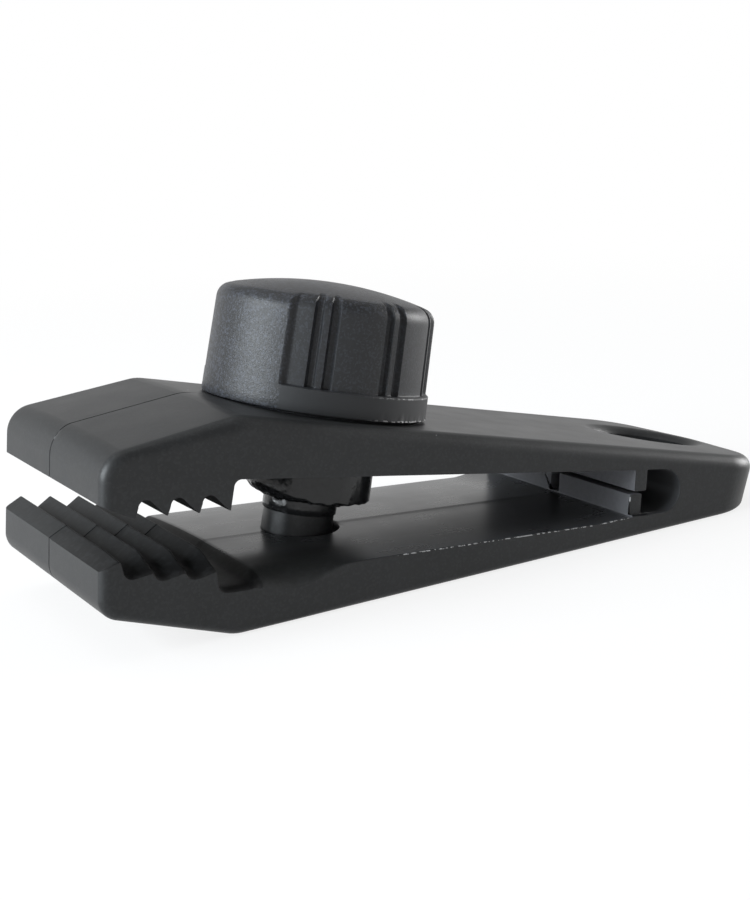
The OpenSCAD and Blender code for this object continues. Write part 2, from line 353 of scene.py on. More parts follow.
def plastic(name, look):
    material = bpy.data.materials.new(name)
    material.use_nodes = True
    tree = material.node_tree
    shader = tree.nodes["Principled BSDF"]
    shader.inputs["IOR"].default_value = look["ior"]
    grain = placeGroup(tree, grainGroup, Grain_Size=look["grainSize"], Patch_Size=look["patchSize"])
    dust = placeGroup(tree, dustGroup, Spacing=look["dustSpacing"], Share=look["dustShare"])
    flash = placeGroup(tree, flashGlintGroup, Dash_Size=look["dashSize"], Cover=look["flashCover"])
    colour = mixColour(tree, grain["Patch"], look["dark"], look["light"])
    low = look["rough"] - look["roughSpread"] / 2
    uneven = grain["Patch"]
    height = grain["Height"]
    if look["streaks"]:
        streak = placeGroup(tree, streakGroup, Streak_Width=look["streakWidth"])["Streak"]
        uneven = mathNode(tree, "ADD", uneven, mathNode(tree, "MULTIPLY", streak, look["streaks"]))
        height = mathNode(tree, "ADD", height, mathNode(tree, "MULTIPLY", streak, look["streakHeight"]))
    rough = mathNode(tree, "MULTIPLY_ADD", uneven, look["roughSpread"], low)
    if look["matteBy"]:
        parts = placeGroup(tree, matteAndPaintedLightGroup)
        # the teeth: painted shade on their near half
        teethColour = mixColour(tree, parts["Near"], look["farTeeth"], look["nearTeeth"])
        # painted light on the rib faces
        colour = mixColour(tree, parts["Ribs"], colour, look["ribs"])
        # painted shade on the floor's near front corner
        colour = mixColour(tree, parts["Corner"], colour, look["corner"])
        colour = mixColour(tree, parts["Jaw"], colour, teethColour)
        rough = mathNode(tree, "MULTIPLY_ADD", parts["Matte"], look["matteBy"], rough)
    grained = 1.0
    if look["plainRough"]:
        plain = addNode(tree, "ShaderNodeAttribute", attribute_name="plain").outputs["Fac"]
        grained = mathNode(tree, "SUBTRACT", 1.0, plain)
        colour = mixColour(tree, plain, colour, look["plainColour"])
        rough = mathNode(tree, "MULTIPLY_ADD", plain, look["plainRough"], rough)
    flecks = mathNode(tree, "MULTIPLY", grain["Fleck"], look["fleckAmount"])
    colour = mixColour(tree, mathNode(tree, "MULTIPLY", flecks, grained), colour, look["fleck"])
    colour = mixColour(tree, dust["Speck"], colour, look["dust"])
    # painted highlight: pale glint colour on the marked flash rims
    colour = mixColour(tree, flash["Glint"], colour, look["glint"])
    feed(tree, colour, shader.inputs["Base Color"])
    feed(tree, rough, shader.inputs["Roughness"])
    bump = addNode(tree, "ShaderNodeBump")
    feed(tree, mathNode(tree, "MULTIPLY", grained, look["bump"]), bump.inputs["Strength"])
    bump.inputs["Distance"].default_value = look["bumpDepth"]
    feed(tree, height, bump.inputs["Height"])
    feed(tree, bump.outputs["Normal"], shader.inputs["Normal"])
    return material


# The plastics: sizes in metres, colours as linear light
bodyLook = {
    "dark": (0.0075, 0.0080, 0.0086), "light": (0.0150, 0.0158, 0.0166), "patchSize": 0.005,
    "fleck": (0.05, 0.053, 0.056), "fleckAmount": 0.12, "grainSize": 0.0002,
    "bump": 0.2, "bumpDepth": 0.00002, "rough": 0.44, "roughSpread": 0.12, "ior": 1.38,
    "dust": (0.5, 0.5, 0.49), "dustSpacing": 0.0019, "dustShare": 0.012,
    # glint: painted highlight colour for the flash rims
    "glint": (0.6, 0.6, 0.6), "dashSize": 0.0005, "flashCover": 0.48,
    "streaks": 0.0,      # tool marks, none here
    "matteBy": 0.0,      # extra roughness of the teeth, ribs and corner
    "plainRough": 0.0,   # extra roughness where the grain was left out of the mould
}
# The gap's inner faces: the same black plastic, painted lighter as painted light for the little light that
# reaches into the gap
innerLook = dict(
    bodyLook, dark=(0.036, 0.037, 0.039), light=(0.052, 0.053, 0.056), rough=0.26, roughSpread=0.1, ior=1.36,
    # ribs: painted light colour of the rib faces; corner: painted shade colour of the floor's near front
    # corner
    ribs=(0.15, 0.151, 0.162), corner=(0.016, 0.0165, 0.0165), matteBy=0.27,
    # the near half of the teeth painted darker as painted shade
    farTeeth=(0.013, 0.0134, 0.0136), nearTeeth=(0.005, 0.005, 0.0052),
    grainSize=0.0004, bump=0.02, dustShare=0.0, streaks=0.5, streakWidth=0.0005, streakHeight=0.2)
knobLook = dict(
    bodyLook, dark=(0.008, 0.0084, 0.0096), light=(0.014, 0.0146, 0.0163), rough=0.42, ior=1.40,
    fleck=(0.1, 0.112, 0.145), fleckAmount=0.27, grainSize=0.00015, bump=0.8, bumpDepth=0.00004,
    dustShare=0.006, plainColour=(0.018, 0.0185, 0.0198), plainRough=0.22)
screwLook = dict(bodyLook, rough=0.36, dustShare=0.0)
collarLook = dict(
    bodyLook, dark=(0.010, 0.0104, 0.011), light=(0.020, 0.0206, 0.0215), rough=0.17, roughSpread=0.1,
    ior=1.42, fleckAmount=0.0, grainSize=0.0008, bump=0.6, bumpDepth=0.0001, dustShare=0.0)

bodyPlastic = plastic("bodyPlastic", bodyLook)
innerPlastic = plastic("innerPlastic", innerLook)
knobPlastic = plastic("knobPlastic", knobLook)
screwPlastic = plastic("screwPlastic", screwLook)
collarPlastic = plastic("collarPlastic", collarLook)
print("materials ready")

# The clip moulding in millimetres: X runs back from the nose, Z up from the plane midway between the arms
clip = {
    "length": 89.2,
    "halfWidth": 15.0,
    "ridgeX": 15.4,
    "ridgeH": 11.05,
    "noseH": 7.9,
    "tailH": 2.51,
    "boxMiddle": 43.984,   # from the nose to the middle of the box, lying down
    "slotEnd": 72.0,
    "slotR": 2.6,
    "jawBackH": 4.9,
    "mouthH": 3.2,
    "screwX": 30.4,
    "flexX": 68.8,
    "bendEnd": 66.0,       # ahead of this the upper arm is rigid
    "seamX": 73.0,         # where the two skins meet, behind the flexing web
    "crispR": 0.14,        # breaks the sharp inner edges
    "crispAngle": 52,
    "crispBehindToe": 0.2,
    "sharpAngle": 32,
}

# Rounding of the outside, upper arm first
rounding = {
    "nose": (3.1, 2.4),
    "noseNear": (1.2, 1.0),
    "noseFar": (0.9, 0.4),
    "ridge": (5.0, 5.0),
    "ridgeNear": (1.7, 0.9),
    "ridgeFar": (1.7, 0.8),
    "tailNear": (1.6, 0.7),
    "tailFar": (2.0, 1.2),
    "tailShort": (1.1, 1.5),
    "tailCorner": (6.6, 7.4),   # in plan
    "tailBow": 13.4,            # radius of the tail end's bulge in plan
    "tailBowed": 1.2,
}

# Teeth of the two jaws, seen from the middle plane
teeth = {"count": 4, "pitch": 3.35, "rake": 0.3, "depth": 1.8, "rootR": 0.8, "crestR": 0.28,
         "toeX": 17.0, "rampSoft": 0.4, "toeSoft": 0.6}
lowerJaw = {"first": 1.95, "crestH": 1.95, "fall": 0.22, "drop": 0.9}
upperJaw = {"first": 3.35, "crestH": 1.8, "fall": 0.0, "drop": 0.0}

ribs = {"x": 65.0, "t": 1.8, "gap": 0.5, "slit": 1.6, "shortBy": 0.7}
eye = {"r": 6.2, "wall": 4.3, "rim": 2.7}

# Bores along the screw, as depths below the upper arm's outer face
holes = {
    "shankR": 4.1, "shankFrom": -4.0, "shankTo": 7.0,
    "pocketR": 8.1, "pocketFrom": 4.4, "pocketTo": 9.0,
    "mouthR": 4.4, "mouthTop": 10.0, "threadR": 4.8, "threadTop": 12.9,
    "closedBy": 2.3,   # the lower bores follow the screw with the jaws this many degrees closed
}
cutterLap = {"ahead": 5.0, "past": 1.0, "over": 0.5}   # how far cutting bodies reach beyond what they cut

# How the moulding departs from its plain outline
relief = {
    "crown": 0.35,             # rise of the upper nose along its middle
    "crownFade": 9.0,
    "draftNear": 0.2,          # fall of the floor towards its two sides
    "draftFar": 0.6,
    "innerEnd": (60, 64),      # relief of the inner faces dies out here
    "teethFade": (0.1675, 3),  # from past the last crest to short of the toe
    "partingStep": 0.06,       # the near half of the inner faces sits this much lower
    "stepWidths": 8,           # over so many half widths of the parting line
    "partingDepth": 0.2,       # the line where the mould's halves met
    "partingHalfW": 0.13,
    "partingFade": (-1, 1.5),  # from the ridge
    "toothFade": 0.6,          # how much of the lower teeth is gone at their near ends
    "fadeW": (4.4, 0.6),
    "fadeIn": (0.5, 6),
    "fadeShort": 2,            # the fading ends this far short of the toe
    "roll": 0.6,               # the toothed edge rolls down on the near side
    "rollW": 1.6,
    "rollIn": (0.3, 5),
    "rollOut": (21, 28),
    "rollBend": 0.97,          # share of a quarter circle that the roll takes
    "curl": 2.2,               # and the floor behind the teeth curls down further
    "curlW": 4.2,
    "curlBack": 4,
    "curlWiden": 2,
}

# Rims that kept a little moulding flash, marked for a painted highlight: widths of the marked bands, and
# where the floor's begins and ends
flashGlintMark = {"least": 0.003, "floorW": 0.09, "floorFrom": 33, "shortOfRib": 0.4, "ribW": 0.13}

# Where the skin is sliced, so that the relief has vertices to move
slices = {
    "near": (-14.8, -14.5, -14.1, -13.6, -13, -12.3, -11.6, -10.8, -10, -7.5, -5, -2.5),
    "parting": (-8, -4, -1, 0, 1),   # in half widths of the parting line
    "far": (2.5, 4.5, 5.7, 7, 8.3, 9.5, 12, 13.5),
    "jaws": (14, 15, 16, 17, 18, 19.5, 21, 22.5, 24, 25.5, 27, 29, 33, 34),
    "arm": (40, 46, 52, 58, 60, 62, 64),
    "web": (66, 67, 68, 69, 70, 71, 72, clip["seamX"]),
    "tail": (75, 77, 79, 81, 83, 85),
}

slotC = clip["slotEnd"] - clip["slotR"]
gapSlope = (clip["jawBackH"] - clip["slotR"]) / (slotC - clip["ridgeX"])
faceSlope = (clip["ridgeH"] - clip["tailH"]) / (clip["length"] - clip["ridgeX"])
bevelSlope = (clip["ridgeH"] - clip["noseH"]) / clip["ridgeX"]
faceAngle = math.atan(faceSlope)
bevelAngle = math.atan(bevelSlope)
eyeX = clip["length"] - eye["wall"] - eye["r"]
ribEnd = ribs["x"] + ribs["t"]


def outerH(x):
    if x < clip["ridgeX"]:
        return clip["noseH"] + bevelSlope * x
    return clip["ridgeH"] - faceSlope * (x - clip["ridgeX"])


def gapH(x):
    return clip["slotR"] + gapSlope * (slotC - x)


# The clip lies on its lower outer face; pieces on the screw stand square to the upper outer face
restH = clip["ridgeX"] * math.sin(faceAngle) + clip["ridgeH"] * math.cos(faceAngle)
lieDown = (Matrix.Scale(mm, 4) @ Matrix.Translation((-clip["boxMiddle"], 0, restH))
           @ Matrix.Rotation(faceAngle, 4, "Y"))
onScrew = (Matrix.Translation((clip["screwX"], 0, outerH(clip["screwX"])))
           @ Matrix.Rotation(faceAngle, 4, "Y"))
flexPoint = Vector((clip["flexX"], 0, (outerH(clip["flexX"]) + gapH(clip["flexX"])) / 2))
partClosed = (Matrix.Translation(flexPoint)
              @ Matrix.Rotation(math.radians(-holes["closedBy"]), 4, "Y")
              @ Matrix.Translation(-flexPoint) @ onScrew)


# One side of the gap from the mouth back over the teeth and along the arm to its rib
def jawOutline(jaw):
    points = [(0.0, clip["mouthH"])]
    for i in range(teeth["count"]):
        x = jaw["first"] + i * teeth["pitch"]
        h = jaw["crestH"] + i * jaw["fall"]
        last = i == teeth["count"] - 1
        rootX = x + teeth["rake"]
        rootH = gapH(rootX) + jaw["drop"] if last else h + teeth["depth"]
        centre = (rootX + teeth["rootR"], rootH - teeth["rootR"])
        toNext = (x + teeth["pitch"] - centre[0], h + jaw["fall"] - centre[1])
        flank = math.atan2(toNext[1], toNext[0]) + math.acos(teeth["rootR"] / math.hypot(*toNext))
        points += softCorner(points[-1], (x, h), (rootX, centre[1]), teeth["crestR"])
        points += arc(*centre, teeth["rootR"], 180, 90 if last else math.degrees(flank), fineness["root"])
    ribFoot = (ribs["x"], gapH(ribs["x"]))
    if jaw["drop"]:
        rampX = teeth["toeX"] - jaw["drop"]
        ramp = (rampX, gapH(rampX) + jaw["drop"])
        toe = (teeth["toeX"], gapH(teeth["toeX"]))
        points += softCorner(points[-1], ramp, toe, teeth["rampSoft"])
        points += softCorner(ramp, toe, ribFoot, teeth["toeSoft"])
    points += [ribFoot, (ribs["x"], ribs["gap"] / 2)]
    points += [(ribEnd, ribs["gap"] / 2), (ribEnd, gapH(ribEnd))]
    return points


# A bar across the clip with rounded ends, for the hull of the outside
def roundedBar(bm, x, z, radius, nearR, farR):
    for side, endR in ((-1, nearR), (1, farR)):
        quarter = arc(radius - endR, clip["halfWidth"] - endR, endR, 0, 90, fineness["corner"])
        line = [bm.verts.new((x + r, side * y, z)) for r, y in quarter]
        spinLine(bm, line, (0, 1, 0), (x, 0, z), fineness["bar"])


# A ring of round section that lies in one outer face
def tailRing(bm, place, radius, tubeR, lean):
    turn = Matrix.Rotation(lean, 4, "Y")
    move = Matrix.Translation(place) @ turn
    outer = arc(radius - tubeR, 0, tubeR, -90, 90, fineness["tube"])
    line = [bm.verts.new(move @ Vector((r, 0, h))) for r, h in outer]
    spinLine(bm, line, turn @ Vector((0, 0, 1)), place, fineness["ring"])


# The outside of the whole moulding, as the hull of its rounded nose, ridges and tail corners
def hullOutside():
    bm = bmesh.new()
    half = clip["halfWidth"]
    for arm, up in enumerate((1, -1)):
        noseR, ridgeR = rounding["nose"][arm], rounding["ridge"][arm]
        nearR, farR = rounding["tailNear"][arm], rounding["tailFar"][arm]
        noseC = clip["noseH"] + noseR * math.tan(bevelAngle) - noseR / math.cos(bevelAngle)
        roundedBar(bm, noseR, up * noseC, noseR, rounding["noseNear"][arm], rounding["noseFar"][arm])
        ridge = (clip["ridgeX"] - ridgeR * math.sin(faceAngle), clip["ridgeH"] - ridgeR * math.cos(faceAngle))
        roundedBar(bm, ridge[0], up * ridge[1], ridgeR, rounding["ridgeNear"][arm], rounding["ridgeFar"][arm])
        cornerR, bowR = rounding["tailCorner"][arm], rounding["tailBow"]
        end = clip["length"] - rounding["tailShort"][arm]
        cornerX = end - rounding["tailBowed"] - cornerR
        rings = [(cornerX, cornerR - half, cornerR, nearR), (cornerX, half - cornerR, cornerR, farR)]
        for x, y, r, tubeR in rings + [(end - bowR, 0, bowR, nearR)]:
            z = up * (outerH(x) - tubeR / math.cos(faceAngle))
            tailRing(bm, (x, y, z), r, tubeR, up * faceAngle)
    bmesh.ops.delete(bm, geom=bm.edges[:], context="EDGES_FACES")
    bmesh.ops.convex_hull(bm, input=bm.verts[:], use_existing_faces=False)
    bmesh.ops.delete(bm, geom=[v for v in bm.verts if not v.link_faces], context="VERTS")
    flat = math.radians(0.1)
    bmesh.ops.dissolve_limit(bm, angle_limit=flat, verts=bm.verts[:], edges=bm.edges[:])
    facesOut(bm)
    return bm


# Cutting bodies, each with the material that it leaves on the cut
def cutter(name, bm, material):
    obj = meshObject(name, bm)
    obj.data.materials.append(material)
    return obj


def cylinderCutter(name, radius, low, high, matrix):
    bm = bmesh.new()
    bmesh.ops.create_cone(bm, cap_ends=True, segments=fineness["hole"], radius1=radius, radius2=radius,
                          depth=high - low)
    bmesh.ops.translate(bm, vec=(0, 0, (low + high) / 2), verts=bm.verts[:])
    bmesh.ops.transform(bm, matrix=matrix, verts=bm.verts[:])
    return cutter(name, bm, bodyPlastic)


def blockCutter(name, low, high, material):
    bm = bmesh.new()
    bmesh.ops.create_cube(bm, size=1)
    bmesh.ops.scale(bm, vec=Vector(high) - Vector(low), verts=bm.verts[:])
    bmesh.ops.translate(bm, vec=(Vector(low) + Vector(high)) / 2, verts=bm.verts[:])
    return cutter(name, bm, material)


def gapCutter():
    bm = bmesh.new()
    start = [(-cutterLap["ahead"], clip["mouthH"])]
    upper = start + jawOutline(upperJaw)
    lower = [(x, -h) for x, h in reversed(start + jawOutline(lowerJaw))]
    slot = arc(slotC, 0, clip["slotR"], 90, -90, fineness["slot"])
    past = clip["halfWidth"] + cutterLap["past"]
    side = bm.faces.new([bm.verts.new((x, -past, z)) for x, z in upper + slot + lower])
    grown = bmesh.ops.extrude_face_region(bm, geom=[side])["geom"]
    farSide = [v for v in grown if isinstance(v, bmesh.types.BMVert)]
    bmesh.ops.translate(bm, vec=(0, 2 * past, 0), verts=farSide)
    facesOut(bm)
    return cutter("gapCutter", bm, innerPlastic)


# The rounded rim of the rope eye: what is left of a square corner outside its rounding
def eyeRimCutter(up):
    lap = 2 * eye["rim"] * faceSlope   # on its slanted face the rounding runs this far into the upright bore
    rise = lap / 8                     # and this far out of the face
    out = eye["r"] + eye["rim"] - lap
    top = eye["rim"] + cutterLap["past"]
    section = [(0, 0)] + arc(out, 0, eye["rim"], 180, 90, fineness["rimArc"]) + [(out, top), (0, top)]
    bm = spinProfile(section, fineness["rim"])
    place = (Matrix.Scale(up, 4, (0, 0, 1)) @ Matrix.Translation((eyeX, 0, outerH(eyeX)))
             @ Matrix.Rotation(faceAngle, 4, "Y") @ Matrix.Translation((0, 0, rise - eye["rim"])))
    bmesh.ops.transform(bm, matrix=place, verts=bm.verts[:])
    facesOut(bm)
    return cutter("eyeRimCutter", bm, bodyPlastic)


def carve(obj):
    half = clip["halfWidth"]
    far = 2 * half
    over = cutterLap["over"]
    threadTop = -holes["threadTop"]
    cutters = [
        gapCutter(),
        cylinderCutter("eyeCutter", eye["r"], -far, far, Matrix.Translation((eyeX, 0, 0))),
        eyeRimCutter(1),
        eyeRimCutter(-1),
        cylinderCutter("shankCutter", holes["shankR"], -holes["shankTo"], -holes["shankFrom"], onScrew),
        cylinderCutter("pocketCutter", holes["pocketR"], -holes["pocketTo"], -holes["pocketFrom"], onScrew),
        cylinderCutter("mouthCutter", holes["mouthR"], threadTop - over, -holes["mouthTop"], partClosed),
        cylinderCutter("threadCutter", holes["threadR"], -far, threadTop, partClosed),
        blockCutter("slitCutter", (ribs["x"] - over, -ribs["slit"] / 2, -clip["slotR"]),
                    (ribEnd + over, ribs["slit"] / 2, clip["slotR"]), innerPlastic),
        blockCutter("ribEndCutter", (ribs["x"] - over, -half - cutterLap["past"], -gapH(ribEnd)),
                    (ribEnd + over, -half + ribs["shortBy"], -ribs["gap"] / 4), bodyPlastic),
    ]
    for tool in cutters:
        cut = obj.modifiers.new(tool.name, "BOOLEAN")
        cut.operation = "DIFFERENCE"
        cut.solver = "EXACT"
        cut.material_mode = "TRANSFER"
        cut.object = tool
    bakeModifiers(obj)
    for tool in cutters:
        bpy.data.objects.remove(tool)


# Where a point lies between the gap's face, 0, and the outer face, 1
def depthShare(co):
    inner = gapH(co.x)
    return min(1.0, max(0.0, (abs(co.z) - inner) / (outerH(co.x) - inner)))


# The floor's near edge and the lower rib's near end carry flash, marked for a painted highlight
def markFlashGlint(bm):
    flash = bm.verts.layers.float.new("flash")
    least, floorW, ribW = flashGlintMark["least"], flashGlintMark["floorW"], flashGlintMark["ribW"]
    edgeY = -clip["halfWidth"]
    ribY = edgeY + ribs["shortBy"]
    for v in bm.verts:
        x, y, z = v.co
        alongFloor = flashGlintMark["floorFrom"] < x < ribs["x"] - flashGlintMark["shortOfRib"]
        onFloor = alongFloor and least < -z - gapH(x) < floorW and least < y - edgeY < floorW
        upRib = -gapH(x) < z < -ribs["gap"] / 2
        onRib = upRib and abs(x - ribs["x"]) < ribW and least < y - ribY < ribW
        v[flash] = 1.0 if onFloor or onRib else 0.0


# How far the lower arm's floor lies under its plain line, from its draft and the parting step
def floorFall(y, inner, onTeeth):
    draft = relief["draftNear"] if y < 0 else relief["draftFar"]
    side = y / clip["halfWidth"]
    stepped = 1 - smooth(y, -relief["stepWidths"] * relief["partingHalfW"], 0)
    return draft * side * side * inner * (1 - onTeeth) + relief["partingStep"] * inner * stepped


# How much of the lower teeth is gone towards their near ends
def toothWear(x, y, z):
    crestH = lowerJaw["crestH"] + lowerJaw["fall"] * (x - lowerJaw["first"]) / teeth["pitch"]
    rootH = crestH + teeth["depth"]
    if -z >= rootH or x >= teeth["toeX"] - relief["fadeShort"]:
        return 0.0
    start, full = (clip["halfWidth"] - w for w in relief["fadeW"])
    return (rootH + z) * relief["toothFade"] * smooth(-y, start, full) * smooth(x, *relief["fadeIn"])


# The near edge rolls down beside the teeth, and curls down further behind them
def edgeRoll(x, y, share):
    toe = teeth["toeX"]
    level = relief["roll"] + lowerJaw["drop"] * smooth(x, toe - lowerJaw["drop"], toe)
    deep = level + (relief["curl"] - level) * smooth(x, toe, toe + relief["curlBack"])
    widen = smooth(x, toe - relief["curlWiden"], toe + relief["curlWiden"])
    wide = relief["rollW"] + (relief["curlW"] - relief["rollW"]) * widen
    t = min(1.0, max(0.0, 1 - (clip["halfWidth"] + y) / wide))
    reach = smooth(x, *relief["rollIn"]) * (1 - smooth(x, *relief["rollOut"])) * (1 - share)
    return deep * (1 - math.sqrt(1 - relief["rollBend"] * t * t)) * reach


def addRelief(bm):
    bm.normal_update()
    onLine, onOuter, onFront = 0.01, 0.9, 0.5   # nearness to the line, least share outside, end of the nose
    parting = {v: v.normal.copy() for v in bm.verts if abs(v.co.y) < onLine}
    ridgeX = clip["ridgeX"]
    partingEnd = [ridgeX + off for off in relief["partingFade"]]
    lastCrest = lowerJaw["first"] + (teeth["count"] - 1) * teeth["pitch"]
    teethEnd = (lastCrest + relief["teethFade"][0], teeth["toeX"] - relief["teethFade"][1])
    for v in bm.verts:
        x, y, z = v.co
        share = depthShare(v.co)
        inner = (1 - share) * (1 - smooth(x, *relief["innerEnd"]))
        onTeeth = 1 - smooth(x, *teethEnd)
        if z > 0:
            side = y / clip["halfWidth"]
            fade = 1 - smooth(x, ridgeX, ridgeX + relief["crownFade"])
            v.co.z += relief["crown"] * (1 - side * side) * share * fade
        else:
            v.co.z -= floorFall(y, inner, onTeeth) + toothWear(x, y, z) + edgeRoll(x, y, share)
        if v in parting:
            outside = share > onOuter or x < onFront
            along = 1 - smooth(x, *partingEnd) if outside else inner * onTeeth
            v.co -= parting[v] * relief["partingDepth"] * along


# Keeps one arm's skin and closes it where it was parted
def splitSkin(bm, wantUpper):
    seam, close = clip["seamX"], 1e-3
    dropped = [f for f in bm.faces
               if (f.calc_center_median().x < seam and f.calc_center_median().z > 0) != wantUpper]
    bmesh.ops.delete(bm, geom=dropped, context="FACES")
    rim = [e for e in bm.edges if e.is_boundary]
    corners = [v for v in {v for e in rim for v in e.verts}
               if abs(v.co.x - seam) < close and abs(v.co.z) < close]
    corners.sort(key=lambda v: v.co.y)
    fold = bm.edges.new((corners[0], corners[-1]))
    upright = [e for e in rim if all(abs(v.co.x - seam) < close for v in e.verts)]
    level = [e for e in rim if e not in upright]
    for loop in (upright, level):
        bmesh.ops.contextual_create(bm, geom=loop + [fold])
    facesOut(bm)


def sliceSkin(bm):
    parting = [n * relief["partingHalfW"] for n in slices["parting"]]
    for y in (*slices["near"], *parting, *slices["far"]):
        cutAcross(bm, (0, y, 0), (0, 1, 0))
    for x in slices["jaws"] + slices["arm"] + slices["web"] + slices["tail"]:
        cutAcross(bm, (x, 0, 0), (1, 0, 0))
    cutAcross(bm, (0, 0, 0), (0, 0, 1))


def makeMoulding():
    blank = meshObject("mouldingBlank", hullOutside())
    blank.data.materials.append(bodyPlastic)
    carve(blank)
    bm = bmesh.new()
    bm.from_mesh(blank.data)
    materials = list(blank.data.materials)
    bpy.data.objects.remove(blank)
    bmesh.ops.remove_doubles(bm, verts=bm.verts[:], dist=weld)
    crispAngle = math.radians(clip["crispAngle"])
    sharp = [e for e in bm.edges if e.is_manifold and e.calc_face_angle() > crispAngle]
    crispFrom = teeth["toeX"] + clip["crispBehindToe"]
    crisp = [e for e in sharp if min(v.co.x for v in e.verts) > crispFrom]
    roundEdges(bm, crisp, clip["crispR"], fineness["crisp"])
    sliceSkin(bm)
    markFlashGlint(bm)
    addRelief(bm)
    skins = []
    for name, wantUpper in (("lowerArmSkin", False), ("upperArmSkin", True)):
        arm = bm.copy()
        splitSkin(arm, wantUpper)
        skins.append(finishPiece(name, arm, lieDown, materials, clip["sharpAngle"]))
    bm.free()
    return skins


lowerSkin, upperSkin = makeMoulding()
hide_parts("lower_arm")
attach(lowerSkin, "base_arm")
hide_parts("upper_arm")
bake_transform(upperSkin)
print("moulding skinned:", len(lowerSkin.data.polygons), "and", len(upperSkin.data.polygons), "faces")

# Knob: a drafted, domed turning with two grip panels cut back into it, a hair clear of the arm at its rim
knob = {
    "r": 12.6, "h": 12.5, "crown": 1.4, "draft": 1.5, "round": 1.7, "skirtH": 3.0,
    "footR": 11.4, "footGap": 0.34, "footOut": 0.1, "footRise": 0.7,
    "rimIn": 0.3, "rimSoft": (0.06, 0.08), "rimTop": 0.25, "skirtRing": 1.5, "skirtTop": (0.25, 0.12),
    "panelDepth": 0.62, "panelAngle": 114, "panels": (101, 281), "panelSoft": 0.34,
    "ledge": ((-0.03, 0.15), (0, 0.35), (0.02, 0.85), (0.1, 0.98)),   # rise from the skirt, share of the cut
    "ledgeTop": 0.25,
    "grooveStep": 39.5, "grooveW": 2.8, "grooveRib": 0.95, "grooveDepth": 0.62, "grooveSoft": 0.3,
    "segments": 720, "wallSteps": 12, "roundSteps": 10, "domeSteps": 15, "sharpAngle": 50,
    "flashAt": -50, "flashSpan": 44, "flashFull": 0.6, "flashOut": 0.16, "flashLevel": 0.6, "flashRag": 0.35,
    # the rim's flash ring and the skirt's ledge edge are marked for a painted highlight, the ledge at
    # ledgeGlint's strength
    "flashRing": 3, "ledgeRing": 7, "ledgeGlint": 0.4,
    "panelPlain": 0.6,   # how much of the grain the panels lack
    "plainCut": 0.3,     # the cut from which they lack it
    "plainFade": 0.2,    # the skirt under them lacks all of it, up to this far below the ledge
}


# How far the grip is cut back above the skirt, at an angle round the knob
def gripCut(angle):
    deepest = 0.0
    scale = math.radians(1) * knob["r"]
    soft = knob["grooveSoft"] / 2
    for middle in knob["panels"]:
        off = turnFrom(middle, angle)
        panel = smooth((knob["panelAngle"] / 2 - abs(off)) * scale, -knob["panelSoft"], knob["panelSoft"])
        groove = 0.0
        for i in (-1, 0, 1):
            across = abs(off - i * knob["grooveStep"]) * scale
            outer = 1 - smooth(across, knob["grooveW"] / 2 - soft, knob["grooveW"] / 2 + soft)
            rib = 1 - smooth(across, knob["grooveRib"] / 2 - soft, knob["grooveRib"] / 2 + soft)
            groove = max(groove, outer - rib)
        deepest = max(deepest, panel * knob["panelDepth"] + groove * knob["grooveDepth"])
    return deepest


# How strongly the knob's rim carries flash, at an angle round it
def rimFlash(angle):
    return 1 - smooth(abs(angle - knob["flashAt"]) / knob["flashSpan"], knob["flashFull"], 1.0)


# One section of the knob from its foot over the shoulder to the crown, as radius and height
def knobSection(angle):
    cut = gripCut(angle)
    slope = math.tan(math.radians(knob["draft"]))
    skirt, top = knob["skirtH"], knob["h"] - knob["round"]
    shoulderR = knob["r"] - top * slope - knob["round"]
    domeR = (shoulderR ** 2 + knob["crown"] ** 2) / (2 * knob["crown"])
    turn = math.pi / 2 - math.asin(shoulderR / domeR)
    edgeR = shoulderR + knob["round"] * math.cos(turn)

    def wall(h, back):
        return knob["r"] - h * slope - back, h

    def dip(r):
        return domeR - math.sqrt(domeR ** 2 - r ** 2)

    gap = knob["footGap"]
    rag = noise.noise(Vector((angle * knob["flashRag"], 0, 0)))
    flashOut = knob["flashOut"] * (knob["flashLevel"] + rag) * rimFlash(angle)
    softH, softIn = knob["rimSoft"]
    section = [(knob["footR"], 0), (knob["footR"] + knob["footOut"], gap * knob["footRise"])]
    section += [(knob["r"] - knob["rimIn"], gap), wall(gap + softH, softIn - flashOut)]
    section += [wall(gap + knob["rimTop"], 0), wall(knob["skirtRing"], 0)]
    section += [wall(skirt - under, 0) for under in knob["skirtTop"]]
    section += [wall(skirt + rise, share * cut) for rise, share in knob["ledge"]]
    low = skirt + knob["ledgeTop"]
    section += [wall(low + (top - low) * i / knob["wallSteps"], cut) for i in range(knob["wallSteps"] + 1)]
    lift = dip(edgeR) - dip(edgeR - cut)
    for i in range(1, knob["roundSteps"] + 1):
        t = i / knob["roundSteps"]
        section.append((shoulderR - cut + knob["round"] * math.cos(turn * t),
                        top + knob["round"] * math.sin(turn * t) + lift * t))
    peak = top + knob["round"] * math.sin(turn) + dip(edgeR)
    for i in range(1, knob["domeSteps"]):
        r = (edgeR - cut) * (1 - i / knob["domeSteps"])
        section.append((r, peak - dip(r)))
    return section


